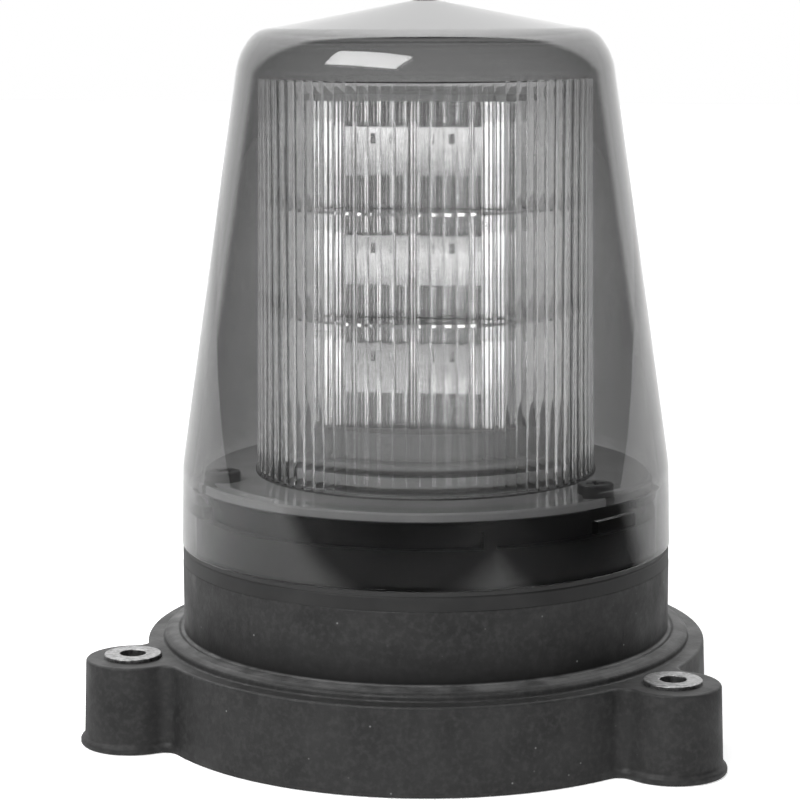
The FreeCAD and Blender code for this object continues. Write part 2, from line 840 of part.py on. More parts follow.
pieces = {
    "rubber_foot": make_rubber_foot(),
    "lug_bushes": make_lug_bushes(),
    "base_housing": make_base_housing(),
    "cable_grommet": make_cable_grommet(),
    "driver_board": make_driver_board(),
    "board_screws": make_board_screws(),
    "capacitors": make_capacitors(),
    "choke": make_choke(),
    "terminal_block": make_terminal_block(),
    "terminal_screws": make_terminal_screws(),
    "driver_socket": make_driver_socket(),
    "led_leads": make_led_leads(),
    "tower_plug": make_tower_plug(),
    "carrier_disc": make_carrier_disc(),
    "carrier_screws": make_carrier_screws(),
    "tower_foot": make_tower_foot(),
    "tower_core": make_tower_core(),
    "tower_cap": make_tower_cap(),
    "tie_bolt": make_tie_bolt(),
    "tie_nut": make_tie_nut(),
    "inner_lens": make_inner_lens(),
    "dome_seal": make_dome_seal(),
    "dome": make_dome(),
}
for tier in range(1, tier_count):
    pieces[f"tier_ring_{tier}"] = make_tier_ring(tier)
face_pieces = {"led_board": make_led_board(), "leds": make_leds(), "reflector": make_reflector()}
for name, shape in face_pieces.items():
    for number, copy in enumerate(on_faces(shape), start=1):
        pieces[f"{name}_{number}"] = copy

os.makedirs("parts", exist_ok=True)
for name, shape in pieces.items():
    shape.exportStep(f"parts/{name}.step")
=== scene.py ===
import math
import bpy
import bmesh
from mathutils import Matrix, Vector


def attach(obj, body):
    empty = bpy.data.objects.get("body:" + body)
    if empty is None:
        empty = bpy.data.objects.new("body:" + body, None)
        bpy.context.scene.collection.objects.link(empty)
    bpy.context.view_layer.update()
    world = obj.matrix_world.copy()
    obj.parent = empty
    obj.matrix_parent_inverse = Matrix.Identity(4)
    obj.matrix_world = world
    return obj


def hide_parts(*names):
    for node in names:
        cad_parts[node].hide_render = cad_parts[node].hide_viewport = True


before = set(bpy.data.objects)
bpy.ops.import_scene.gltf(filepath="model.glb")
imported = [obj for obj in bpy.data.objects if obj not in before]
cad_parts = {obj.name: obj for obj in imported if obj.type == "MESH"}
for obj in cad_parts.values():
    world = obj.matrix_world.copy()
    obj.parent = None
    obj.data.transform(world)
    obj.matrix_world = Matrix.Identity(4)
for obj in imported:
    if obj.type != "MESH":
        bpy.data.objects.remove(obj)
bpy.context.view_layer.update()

# Sizes in millimetres. Most are the part's own. The dome's shoulder, gate mark, lens cap, lamp window
# and screw recess are made for looks
MM = 0.001
LUG_ANGLES = (90.0, 210.0, 330.0)
LUG_CIRCLE = 65.0
LUG_RADIUS = 9.8
LUG_BLEND = 3.0
LUG_LIP = 0.8
RING_RADIUS = 60.0
RING_HEIGHT = 18.1
FOOT_DRAFT = 0.6
EDGE_EASE = 0.6
CHANNEL_INNER = 52.4
CHANNEL_OUTER = 56.0
CHANNEL_HEIGHT = 9.0
NECK_RADIUS = 52.25
NECK_BORE = 48.5
NECK_TOP = 35.2
BEAD_RADIUS = 56.65
BEAD_TOP = 20.3
HOUSING_LIFT = 5.0
BUSH_RADIUS = 4.15
BUSH_BORE = 2.65
BUSH_FLANGE = 6.0
BUSH_TOP = 18.9
SKIRT_RADIUS = 52.45
SKIRT_BORE = 49.95
SKIRT_TOP_RADIUS = 52.0
SKIRT_TOP = 56.05
DOME_BOTTOM = 39.05
DOME_APEX = 153.45
DOME_WALL = 2.5
WALL_LEAN = math.tan(math.radians(8.38))
CROWN_RISE = math.tan(math.radians(10.3))
SHOULDER_CROWN_REACH = 3.2
SHOULDER_WALL_REACH = 4.4
CROWN_ROUND = 6.0
WALL_ROUND = 14.0
GATE_RADIUS = 2.6
GATE_HEIGHT = 0.18
BAYONET_INNER = 48.45
BAYONET_BOTTOM = 47.4
BAYONET_TOP = 50.0
BAYONET_WIDTH = 14
CARRIER_TOP = 54.25
CARRIER_SCREW_CIRCLE = 44.45
SCREW_HEAD_RADIUS = 3.5
SCREW_HEAD_HEIGHT = 2.1
SCREW_SHANK = 1.2
SCREW_LENGTH = 9.0
RECESS_LENGTH = 3.6
RECESS_WIDTH = 0.9
RECESS_DEPTH = 1.0
LENS_FOOT = 55.05
LENS_TOP = 137.55
LENS_CAP = 0.35
LENS_BASE_RADIUS = 36.07
LENS_TOP_RADIUS = 35.07
LENS_WALL = 2.1
LENS_FLANGE_RADIUS = 36.47
FLUTE_COUNT = 88
FLUTE_DEPTH = 0.4
FLUTE_SWEEP = 0.93
TOWER_ANGLE = 3.0
TOWER_BOTTOM = 66.5
REFLECTOR_TOP = 133.25
FACE_FRONT = 22.67
FACE_HALF_WIDTH = 18.03
REFLECTOR_DEPTH = 5.4
MITRE_GAP = 0.2
RIB_RADIUS = 1.2
RIB_RISE = 0.9
WING_START = 13.43
WING_FALL = 1.4
COLUMN_OFFSET = 7.3
TIER_PITCH = 22.25
SCOOP_SILL = 7.4
SCOOP_HEIGHT = 10.65
SCOOP_WIDTH = 11.67
SCOOP_DEPTH = 3.0
SCOOP_BOW = 1.3
LAMP_DROP = 3.4
LAMP_POCKET = 2.8
LAMP_WINDOW = 2.0

# Surfaces that a ray has crossed before it counts as seen through the lens
LENS_PASSES = 4.5

# Metres: how far the lens panels stand from the axis, and the height that the key panel is set out from
PANEL_REACH = 0.4
SHOULDER_HEIGHT = 0.143


# Profiles and meshes

def round_point(radius, angle, height):
    """Point in metres, from a radius and height in millimetres and an angle about the axis."""
    return radius * math.cos(angle) * MM, radius * math.sin(angle) * MM, height * MM


def eased(corners, steps=6, closed=True):
    """Points along (radius, height, rounding) corners, each rounded by an arc."""
    points = []
    count = len(corners)
    for i, corner in enumerate(corners):
        here = Vector(corner[:2])
        rounding = corner[2] if len(corner) > 2 else 0.0
        inner = closed or 0 < i < count - 1
        if rounding <= 0.0 or not inner:
            points.append((here.x, here.y))
            continue
        before = (Vector(corners[i - 1][:2]) - here).normalized()
        after = (Vector(corners[(i + 1) % count][:2]) - here).normalized()
        half = before.angle(after) / 2
        reach = rounding / math.tan(half)
        start = here + before * reach
        end = here + after * reach
        middle = here + (before + after).normalized() * (rounding / math.sin(half))
        first = start - middle
        sweep = first.angle_signed(end - middle)
        for k in range(steps + 1):
            turn = -sweep * k / steps
            c = math.cos(turn)
            s = math.sin(turn)
            points.append((middle.x + first.x * c - first.y * s, middle.y + first.x * s + first.y * c))
    return points


def turned_mesh(profile, segments, closed=True):
    """Mesh of a profile turned about the axis, in metres."""
    mesh = bmesh.new()
    rows = []
    for radius, height in profile:
        row = []
        for k in range(segments):
            angle = 2 * math.pi * k / segments
            row.append(mesh.verts.new(round_point(radius, angle, height)))
        rows.append(row)
    last = len(rows) if closed else len(rows) - 1
    for i in range(last):
        lower = rows[i]
        upper = rows[(i + 1) % len(rows)]
        for k in range(segments):
            after = (k + 1) % segments
            mesh.faces.new((lower[k], lower[after], upper[after], upper[k]))
    bmesh.ops.remove_doubles(mesh, verts=mesh.verts, dist=1e-7)
    bmesh.ops.dissolve_degenerate(mesh, edges=mesh.edges, dist=1e-8)
    bmesh.ops.recalc_face_normals(mesh, faces=mesh.faces)
    return mesh


def piece(name, mesh, sharp_angle=40.0):
    """Object of a finished mesh, smooth but for its sharp edges, with face-weighted normals."""
    shape = raw_object(name, mesh)
    smooth(shape, sharp_angle)
    return shape


def smooth(shape, sharp_angle=40.0):
    """Shade a piece smooth but for its sharp edges, with face-weighted normals."""
    data = shape.data
    data.polygons.foreach_set("use_smooth", [True] * len(data.polygons))
    data.set_sharp_from_angle(angle=math.radians(sharp_angle))
    weighted = shape.modifiers.new("weighted", "WEIGHTED_NORMAL")
    weighted.keep_sharp = True
    bake(shape)


def bake(shape):
    """Turn the modifiers of a piece into plain mesh."""
    bpy.context.view_layer.update()
    depsgraph = bpy.context.evaluated_depsgraph_get()
    plain = bpy.data.meshes.new_from_object(shape.evaluated_get(depsgraph), depsgraph=depsgraph)
    shape.modifiers.clear()
    shape.data = plain
    plain.name = shape.name


def round_pattern(name):
    """Geometry Nodes tree that sets copies of a shape round the axis and joins them."""
    tree = bpy.data.node_groups.new(name, "GeometryNodeTree")
    tree.interface.new_socket("Shape", in_out="INPUT", socket_type="NodeSocketGeometry")
    tree.interface.new_socket("Count", in_out="INPUT", socket_type="NodeSocketInt")
    tree.interface.new_socket("First Angle", in_out="INPUT", socket_type="NodeSocketFloat")
    tree.interface.new_socket("Join Distance", in_out="INPUT", socket_type="NodeSocketFloat")
    tree.interface.new_socket("Finish", in_out="INPUT", socket_type="NodeSocketMaterial")
    tree.interface.new_socket("Shape", in_out="OUTPUT", socket_type="NodeSocketGeometry")
    add = tree.nodes.new
    link = tree.links.new
    given = add("NodeGroupInput")
    result = add("NodeGroupOutput")
    points = add("GeometryNodePoints")
    place = add("GeometryNodeInstanceOnPoints")
    index = add("GeometryNodeInputIndex")
    step = add("ShaderNodeMath")
    step.operation = "DIVIDE"
    step.inputs[0].default_value = 2 * math.pi
    turn = add("ShaderNodeMath")
    turn.operation = "MULTIPLY_ADD"
    about = add("ShaderNodeCombineXYZ")
    real = add("GeometryNodeRealizeInstances")
    join = add("GeometryNodeMergeByDistance")
    finish = add("GeometryNodeSetMaterial")
    link(given.outputs["Count"], points.inputs["Count"])
    link(given.outputs["Count"], step.inputs[1])
    link(index.outputs[0], turn.inputs[0])
    link(step.outputs[0], turn.inputs[1])
    link(given.outputs["First Angle"], turn.inputs[2])
    link(turn.outputs[0], about.inputs["Z"])
    link(points.outputs[0], place.inputs["Points"])
    link(given.outputs["Shape"], place.inputs["Instance"])
    link(about.outputs[0], place.inputs["Rotation"])
    link(place.outputs[0], real.inputs[0])
    link(real.outputs[0], join.inputs["Geometry"])
    link(given.outputs["Join Distance"], join.inputs["Distance"])
    link(join.outputs[0], finish.inputs["Geometry"])
    link(given.outputs["Finish"], finish.inputs["Material"])
    link(finish.outputs[0], result.inputs[0])
    return tree


def set_round(shape, tree, count, first_angle, finish, join=1e-7):
    """Repeat a shape round the axis with the pattern tree and keep the plain mesh."""
    modifier = shape.modifiers.new("pattern", "NODES")
    modifier.node_group = tree
    values = {
        "Count": count, "First Angle": math.radians(first_angle),
        "Join Distance": join, "Finish": finish,
    }
    for socket in tree.interface.items_tree:
        if socket.in_out == "INPUT" and socket.name in values:
            modifier[socket.identifier] = values[socket.name]
    bake(shape)


def raw_object(name, mesh):
    """Object of a mesh, not yet finished."""
    data = bpy.data.meshes.new(name)
    mesh.to_mesh(data)
    mesh.free()
    shape = bpy.data.objects.new(name, data)
    bpy.context.scene.collection.objects.link(shape)
    return shape


def settle(shape, sharp_angle=40.0):
    """Close, orient and smooth a patterned piece."""
    mesh = bmesh.new()
    mesh.from_mesh(shape.data)
    bmesh.ops.remove_doubles(mesh, verts=mesh.verts, dist=1e-7)
    bmesh.ops.recalc_face_normals(mesh, faces=mesh.faces)
    mesh.to_mesh(shape.data)
    mesh.free()
    smooth(shape, sharp_angle)


# Finishes

class Finish:
    """A material's node tree with short calls for adding and joining nodes."""

    def __init__(self, name):
        self.material = bpy.data.materials.new(name)
        self.material.use_nodes = True
        self.tree = self.material.node_tree
        self.tree.nodes.clear()
        self.out = self.add("ShaderNodeOutputMaterial")
        self.body = self.add("ShaderNodeBsdfPrincipled")
        self.tree.links.new(self.body.outputs[0], self.out.inputs["Surface"])
        self.place = self.add("ShaderNodeTexCoord").outputs["Object"]

    def add(self, kind, **settings):
        node = self.tree.nodes.new(kind)
        for key, value in settings.items():
            setattr(node, key, value)
        return node

    def link(self, source, target):
        self.tree.links.new(source, target)

    def set(self, **values):
        for key, value in values.items():
            self.body.inputs[key.replace("_", " ")].default_value = value

    def noise(self, scale, detail=3.0, roughness=0.55):
        node = self.add("ShaderNodeTexNoise")
        node.inputs["Scale"].default_value = scale
        node.inputs["Detail"].default_value = detail
        node.inputs["Roughness"].default_value = roughness
        self.link(self.place, node.inputs["Vector"])
        return node.outputs["Fac"]

    def ramp(self, source, stops):
        node = self.add("ShaderNodeValToRGB")
        band = node.color_ramp
        while len(band.elements) < len(stops):
            band.elements.new(0.5)
        for element, (at, colour) in zip(band.elements, stops):
            element.position = at
            element.color = colour if len(colour) == 4 else (*colour, 1.0)
        self.link(source, node.inputs["Fac"])
        return node.outputs["Color"]

    def span(self, source, low, high, from_low=0.0, from_high=1.0, clamp=True):
        node = self.add("ShaderNodeMapRange", clamp=clamp)
        node.inputs["From Min"].default_value = from_low
        node.inputs["From Max"].default_value = from_high
        node.inputs["To Min"].default_value = low
        node.inputs["To Max"].default_value = high
        self.link(source, node.inputs["Value"])
        return node.outputs["Result"]

    def combine(self, kind, *values, clamp=False):
        node = self.add("ShaderNodeMath", operation=kind, use_clamp=clamp)
        for socket, value in zip(node.inputs, values):
            if isinstance(value, float):
                socket.default_value = value
            else:
                self.link(value, socket)
        return node.outputs[0]

    def times(self, first, second):
        return self.combine("MULTIPLY", first, second)

    def split(self):
        node = self.add("ShaderNodeSeparateXYZ")
        self.link(self.place, node.inputs[0])
        return node.outputs

    def roughness(self, scale, low, high):
        self.link(self.span(self.noise(scale), low, high, 0.3, 0.7), self.body.inputs["Roughness"])

    def shader_mix(self, factor, first, second):
        node = self.add("ShaderNodeMixShader")
        self.link(factor, node.inputs["Fac"])
        self.link(first.outputs[0], node.inputs[1])
        self.link(second.outputs[0], node.inputs[2])
        self.link(node.outputs[0], self.out.inputs["Surface"])

    def bump(self, source, strength, distance):
        node = self.add("ShaderNodeBump")
        node.inputs["Strength"].default_value = strength
        node.inputs["Distance"].default_value = distance
        self.link(source, node.inputs["Height"])
        self.link(node.outputs["Normal"], self.body.inputs["Normal"])

    def mix(self, factor, first, second):
        node = self.add("ShaderNodeMix", data_type="RGBA")
        self.link(factor, node.inputs["Factor"])
        for socket, value in ((node.inputs[6], first), (node.inputs[7], second)):
            if isinstance(value, tuple):
                socket.default_value = (*value, 1.0)
            else:
                self.link(value, socket)
        return node.outputs[2]


def grey(value):
    return (value, value, value)


def moulded(name, dark, light, rough_low, rough_high, grain, bump_height):
    """Moulded plastic, rubber or metal with a mottled shade and a fine grain."""
    finish = Finish(name)
    shade = finish.ramp(finish.noise(90.0), [(0.3, dark), (0.7, light)])
    finish.link(shade, finish.body.inputs["Base Color"])
    finish.roughness(260.0, rough_low, rough_high)
    finish.bump(finish.noise(grain, 2.0), 0.4, bump_height)
    return finish


def foot_rubber():
    """Matt black rubber with mould haze, grain, pale dust, a painted highlight on its bead's crest and
    painted shade at the neck's foot.
    """
    finish = Finish("foot_rubber")
    haze = finish.ramp(finish.noise(70.0, 6.0, 0.7), [(0.3, grey(0.008)), (0.72, grey(0.02))])
    grain = finish.span(finish.noise(800.0, 2.0), 0.0, 0.6, 0.45, 0.75)
    shade = finish.mix(grain, haze, grey(0.03))
    cells = finish.add("ShaderNodeTexVoronoi")
    cells.inputs["Scale"].default_value = 480.0
    finish.link(finish.place, cells.inputs["Vector"])
    near = finish.span(cells.outputs["Distance"], 1.0, 0.0, 0.04, 0.13)
    chance = finish.add("ShaderNodeSeparateColor")
    finish.link(cells.outputs["Color"], chance.inputs["Color"])
    few = finish.span(chance.outputs["Red"], 0.0, 0.6, 0.86, 0.97)
    speck = finish.times(near, few)
    height = finish.split()["Z"]
    # Painted highlight: a lighter, patchy band along the bead's crest, about 19.6 to 20.7 mm up
    rising = finish.span(height, 0.0, 1.0, 0.0196, 0.0201)
    below = finish.span(height, 1.0, 0.0, 0.0203, 0.0207)
    patchy = finish.span(finish.noise(160.0, 4.0), 0.15, 1.0, 0.35, 0.65)
    crest_highlight_mask = finish.times(finish.times(rising, below), patchy)
    crest_highlighted = finish.mix(crest_highlight_mask, shade, grey(0.08))
    # Painted shade: the neck darkens toward its foot, nearly black just above the bead
    above = finish.span(height, 0.1, 1.0, 0.0207, 0.029)
    unshaded = finish.combine("MAXIMUM", below, above)
    neck_shaded = finish.mix(unshaded, grey(0.003), crest_highlighted)
    finish.link(finish.mix(speck, neck_shaded, grey(0.22)), finish.body.inputs["Base Color"])
    finish.roughness(150.0, 0.5, 0.68)
    finish.bump(finish.noise(1400.0, 2.0), 0.35, 0.00012)
    finish.set(Specular_IOR_Level=0.3)
    return finish.material


def housing_plastic():
    """Black moulded plastic, matt on the collar and smooth above it."""
    finish = Finish("housing_plastic")
    shade = finish.ramp(finish.noise(90.0), [(0.3, grey(0.006)), (0.7, grey(0.013))])
    finish.link(shade, finish.body.inputs["Base Color"])
    height = finish.split()["Z"]
    finish.link(finish.span(height, 0.6, 0.3, 0.0382, 0.0386), finish.body.inputs["Roughness"])
    finish.bump(finish.noise(500.0, 2.0), 0.4, 0.00001)
    finish.set(Specular_IOR_Level=0.4)
    return finish.material


def lamps_pass(finish, tint):
    """Let lamp light straight through clear plastic, tinted as it passes."""
    path = finish.add("ShaderNodeLightPath")
    clear = finish.add("ShaderNodeBsdfTransparent")
    clear.inputs["Color"].default_value = (*grey(tint), 1.0)
    finish.shader_mix(path.outputs["Is Shadow Ray"], finish.body, clear)


def clear_plastic(name, low, high, shadow_tint):
    """Clear moulded plastic with a faint unevenness in its tint."""
    finish = Finish(name)
    shade = finish.ramp(finish.noise(30.0, 2.0), [(0.3, grey(low)), (0.7, grey(high))])
    finish.link(shade, finish.body.inputs["Base Color"])
    finish.set(Roughness=0.0, IOR=1.49, Transmission_Weight=1.0)
    lamps_pass(finish, shadow_tint)
    return finish.material


def smoke_plastic(name, wall_pass):
    """Smoke-grey clear plastic that darkens with the depth of wall that light crosses."""
    finish = Finish(name)
    shade = finish.ramp(finish.noise(30.0, 2.0), [(0.3, grey(0.97)), (0.7, grey(1.0))])
    finish.link(shade, finish.body.inputs["Base Color"])
    finish.set(Roughness=0.0, IOR=1.49, Transmission_Weight=1.0)
    lamps_pass(finish, 0.96)
    smoke = finish.add("ShaderNodeVolumeAbsorption")
    smoke.inputs["Color"].default_value = (*grey(0.0), 1.0)
    smoke.inputs["Density"].default_value = -math.log(wall_pass) / (DOME_WALL * MM)
    finish.link(smoke.outputs[0], finish.out.inputs["Volume"])
    return finish.material


def bright_metal(name, low, high, rough_low, rough_high):
    """Bare or plated metal with slight clouding."""
    finish = Finish(name)
    shade = finish.ramp(finish.noise(120.0), [(0.3, grey(low)), (0.7, grey(high))])
    finish.link(shade, finish.body.inputs["Base Color"])
    finish.roughness(300.0, rough_low, rough_high)
    finish.set(Metallic=1.0)
    return finish.material


def reflector_chrome_shaded():
    """Bright plating with painted shade, brightest at the top of each scoop and darker toward its lip."""
    finish = Finish("reflector_chrome")
    top = (TOWER_BOTTOM + SCOOP_SILL + SCOOP_HEIGHT) * MM
    height = finish.split()["Z"]
    # Painted shade: within each tier the colour falls from full at the scoop's top to about three quarters at
    # its lip
    below = finish.combine("FRACT", finish.span(height, 0.0, -1.0, top, top + TIER_PITCH * MM, False))
    scoop_shade_steps = ((0.0, 1.0), (0.2, 0.97), (0.45, 0.74), (0.98, 0.78))
    painted_scoop_shade = finish.ramp(below, [(at, grey(value)) for at, value in scoop_shade_steps])
    clouding = finish.span(finish.noise(120.0), 0.86, 0.94, 0.3, 0.7)
    finish.link(finish.times(clouding, painted_scoop_shade), finish.body.inputs["Base Color"])
    finish.roughness(300.0, 0.12, 0.18)
    finish.set(Metallic=1.0, Anisotropic=0.6, Anisotropic_Rotation=0.25)
    return finish.material


def bush_steel():
    """Plain steel with a gritty surface."""
    finish = Finish("bush_steel")
    shade = finish.ramp(finish.noise(900.0, 3.0, 0.7), [(0.32, grey(0.1)), (0.68, grey(0.3))])
    finish.link(shade, finish.body.inputs["Base Color"])
    finish.roughness(400.0, 0.38, 0.55)
    finish.bump(finish.noise(1200.0, 2.0), 0.3, 0.00005)
    finish.set(Metallic=1.0)
    return finish.material


finishes = {
    "foot_rubber": foot_rubber(),
    "bush_steel": bush_steel(),
    "housing_plastic": housing_plastic(),
    "grommet_rubber": moulded("grommet_rubber", grey(0.015), grey(0.025), 0.5, 0.65, 900.0, 0.00005).material,
    "seal_rubber": moulded("seal_rubber", grey(0.01), grey(0.016), 0.5, 0.65, 900.0, 0.00005).material,
    "circuit_board": moulded("circuit_board", (0.02, 0.09, 0.04), (0.03, 0.12, 0.05),
                             0.35, 0.5, 700.0, 0.00003).material,
    "screw_steel": bright_metal("screw_steel", 0.16, 0.26, 0.3, 0.42),
    "capacitor_can": bright_metal("capacitor_can", 0.45, 0.55, 0.25, 0.4),
    "ferrite": moulded("ferrite", grey(0.03), grey(0.05), 0.5, 0.7, 900.0, 0.00005).material,
    "terminal_plastic": moulded("terminal_plastic", (0.05, 0.16, 0.08), (0.06, 0.19, 0.1),
                                0.35, 0.5, 900.0, 0.00004).material,
    "connector_plastic": moulded("connector_plastic", grey(0.55), grey(0.65),
                                 0.35, 0.5, 900.0, 0.00004).material,
    "lead_sleeve": moulded("lead_sleeve", grey(0.03), grey(0.05), 0.4, 0.5, 900.0, 0.00004).material,
    "carrier_metal": moulded("carrier_metal", grey(0.6), grey(0.68), 0.02, 0.04, 300.0, 0.000002).material,
    "tower_plastic": moulded("tower_plastic", grey(0.42), grey(0.5), 0.35, 0.5, 700.0, 0.00004).material,
    "core_metal": bright_metal("core_metal", 0.5, 0.6, 0.3, 0.45),
    "lamp_board": moulded("lamp_board", grey(0.6), grey(0.68), 0.35, 0.5, 700.0, 0.00003).material,
    "lamp": bright_metal("lamp", 0.82, 0.9, 0.15, 0.25),
    "reflector_chrome": reflector_chrome_shaded(),
    "ring_bright": bright_metal("ring_bright", 0.85, 0.92, 0.15, 0.22),
    "lens_clear": clear_plastic("lens_clear", 0.97, 1.0, 0.97),
    "dome_smoke": smoke_plastic("dome_smoke", 0.44),
}


# Dome

def crown_corner(wall_radius, apex):
    """Radius and height where the leaning wall meets the crown."""
    reach = apex + GATE_RADIUS * CROWN_RISE - SKIRT_TOP
    radius = (wall_radius - reach * WALL_LEAN) / (1 - CROWN_RISE * WALL_LEAN)
    return radius, apex - (radius - GATE_RADIUS) * CROWN_RISE


def inset(before, here, after):
    """Corner of the dome's inside, a wall's thickness in from the same corner outside."""
    first = (Vector(here) - Vector(before)).normalized()
    second = (Vector(after) - Vector(here)).normalized()
    middle = (first + second).normalized()
    inward = Vector((middle.y, -middle.x)) * (DOME_WALL / first.dot(middle))
    return here[0] + inward.x, here[1] + inward.y


def make_dome():
    """Clear dome with its skirt, leaning wall, rounded shoulder, crown, gate mark and bayonet lugs."""
    slope = math.atan(CROWN_RISE)
    lean = math.atan(WALL_LEAN)
    across = DOME_WALL / math.cos(lean)
    upright = DOME_WALL / math.cos(slope)
    outer = crown_corner(SKIRT_TOP_RADIUS, DOME_APEX)
    crown_edge = (
        outer[0] - SHOULDER_CROWN_REACH * math.cos(slope),
        outer[1] + SHOULDER_CROWN_REACH * math.sin(slope),
    )
    wall_edge = (
        outer[0] + SHOULDER_WALL_REACH * math.sin(lean),
        outer[1] - SHOULDER_WALL_REACH * math.cos(lean),
    )
    crown_inside = inset((GATE_RADIUS, DOME_APEX), crown_edge, wall_edge)
    wall_inside = inset(crown_edge, wall_edge, (SKIRT_TOP_RADIUS, SKIRT_TOP))
    bend = SKIRT_TOP - (SKIRT_BORE - SKIRT_TOP_RADIUS + across) / WALL_LEAN
    gate_top = DOME_APEX + GATE_HEIGHT
    under = DOME_APEX - upright + GATE_RADIUS * CROWN_RISE
    profile = eased([
        (0.0, gate_top), (GATE_RADIUS, gate_top, 0.08), (GATE_RADIUS, DOME_APEX, 0.06),
        (*crown_edge, CROWN_ROUND), (*wall_edge, WALL_ROUND), (SKIRT_TOP_RADIUS, SKIRT_TOP, 6.0),
        (SKIRT_RADIUS, DOME_BOTTOM, 0.3),
        (SKIRT_BORE, DOME_BOTTOM, 0.3), (SKIRT_BORE, BAYONET_BOTTOM), (SKIRT_BORE, BAYONET_TOP),
        (SKIRT_BORE, bend, 4.0), (*wall_inside, WALL_ROUND - DOME_WALL),
        (*crown_inside, CROWN_ROUND - DOME_WALL), (0.0, under),
    ], steps=10, closed=False)
    mesh = turned_mesh(profile, 360, closed=False)
    lug_faces = []
    for face in mesh.faces:
        middle = face.calc_center_median()
        radius = math.hypot(middle.x, middle.y)
        inside = abs(radius - SKIRT_BORE * MM) < 0.0002
        if not inside or not BAYONET_BOTTOM * MM < middle.z < BAYONET_TOP * MM:
            continue
        angle = math.degrees(math.atan2(middle.y, middle.x)) % 360
        if any(abs(angle - lug) < BAYONET_WIDTH / 2 for lug in LUG_ANGLES):
            lug_faces.append(face)
    grown = bmesh.ops.extrude_face_region(mesh, geom=lug_faces)
    bmesh.ops.delete(mesh, geom=lug_faces, context="FACES")
    shrink = BAYONET_INNER / SKIRT_BORE
    for part in grown["geom"]:
        if isinstance(part, bmesh.types.BMVert):
            part.co.x *= shrink
            part.co.y *= shrink
    bmesh.ops.recalc_face_normals(mesh, faces=mesh.faces)
    shape = piece("smoke_dome", mesh)
    shape.data.materials.append(finishes["dome_smoke"])
    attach(shape, "dome")
    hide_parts("dome")


# Fluted lens

def make_lens(pattern):
    """Fluted lens made of one flute's wedge, repeated round the axis."""
    step = 2 * math.pi / FLUTE_COUNT
    across = 12
    mesh = bmesh.new()

    def flute_row(crest, height):
        row = []
        for k in range(across + 1):
            share = math.sin(math.pi * (k / across - 0.5))
            bulge = math.sqrt(1 - FLUTE_SWEEP * share * share) - math.sqrt(1 - FLUTE_SWEEP)
            radius = crest - FLUTE_DEPTH + FLUTE_DEPTH * bulge / (1 - math.sqrt(1 - FLUTE_SWEEP))
            angle = step * (share + 1) / 2
            row.append(mesh.verts.new(round_point(radius, angle, height)))
        return row

    def plain_row(radius, height):
        row = []
        for k in range(across + 1):
            angle = step * (math.sin(math.pi * (k / across - 0.5)) + 1) / 2
            row.append(mesh.verts.new(round_point(radius, angle, height)))
        return row

    base_bore = LENS_BASE_RADIUS - FLUTE_DEPTH - LENS_WALL
    top_bore = LENS_TOP_RADIUS - FLUTE_DEPTH - LENS_WALL
    ceiling = LENS_TOP - LENS_CAP
    rows = [
        plain_row(0.0, LENS_TOP), plain_row(LENS_TOP_RADIUS - 2.0, LENS_TOP),
        flute_row(LENS_TOP_RADIUS - 0.05, LENS_TOP), flute_row(LENS_TOP_RADIUS, LENS_TOP - 0.05),
        flute_row(LENS_BASE_RADIUS, LENS_FOOT), flute_row(LENS_FLANGE_RADIUS - 0.1, LENS_FOOT),
        flute_row(LENS_FLANGE_RADIUS, LENS_FOOT - 0.1), flute_row(LENS_FLANGE_RADIUS, CARRIER_TOP),
        plain_row(base_bore, CARRIER_TOP), plain_row(base_bore, LENS_FOOT), plain_row(top_bore, ceiling),
        plain_row(0.0, ceiling),
    ]
    for upper, lower in zip(rows, rows[1:]):
        for k in range(across):
            mesh.faces.new((upper[k], lower[k], lower[k + 1], upper[k + 1]))
    bmesh.ops.remove_doubles(mesh, verts=mesh.verts, dist=1e-7)
    bmesh.ops.dissolve_degenerate(mesh, edges=mesh.edges, dist=1e-8)
    shape = raw_object("fluted_lens", mesh)
    set_round(shape, pattern, FLUTE_COUNT, 0.0, finishes["lens_clear"])
    settle(shape, 35.0)
    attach(shape, "base")
    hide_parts("inner_lens")


# Rubber foot

def foot_plan(ring, lug, arc_steps=30, hollow_steps=8, lug_steps=24):
    """Outline of the ring with its lugs: x and y of each point, and its angle in the round rows above."""
    hollow_circle = ring + LUG_BLEND
    reach = hollow_circle ** 2 + LUG_CIRCLE ** 2 - (lug + LUG_BLEND) ** 2
    spread = math.acos(reach / (2 * LUG_CIRCLE * hollow_circle))
    centre = Vector((LUG_CIRCLE, 0.0))
    upper_hollow = Vector((hollow_circle * math.cos(spread), hollow_circle * math.sin(spread)))
    lug_turn = abs((upper_hollow - centre).angle_signed(Vector((1.0, 0.0))))
    toward_lug = math.atan2(*(centre - upper_hollow).yx)
    toward_ring = math.atan2(*(-upper_hollow).yx)
    turn = (toward_lug - toward_ring + math.pi) % (2 * math.pi) - math.pi
    outer = []
    for k in range(lug_steps + 1):
        angle = lug_turn * (2 * k / lug_steps - 1)
        outer.append((LUG_CIRCLE + lug * math.cos(angle), lug * math.sin(angle)))
    hollow = []
    for k in range(1, hollow_steps + 1):
        angle = toward_lug - turn * k / hollow_steps
        across = upper_hollow.y + LUG_BLEND * math.sin(angle)
        hollow.append((upper_hollow.x + LUG_BLEND * math.cos(angle), across))
    mirrored = [(x, -y) for x, y in reversed(hollow)]
    lug_outline = mirrored + outer + hollow
    last = len(lug_outline) - 1
    points = []
    for lug_angle in LUG_ANGLES:
        middle = math.radians(lug_angle)
        c = math.cos(middle)
        s = math.sin(middle)
        for k, (x, y) in enumerate(lug_outline):
            plan_angle = middle + spread * (2 * k / last - 1)
            points.append((x * c - y * s, x * s + y * c, plan_angle))
        gap = 2 * math.pi / 3 - 2 * spread
        for k in range(1, arc_steps):
            angle = middle + spread + gap * k / arc_steps
            points.append((ring * math.cos(angle), ring * math.sin(angle), angle))
    return points


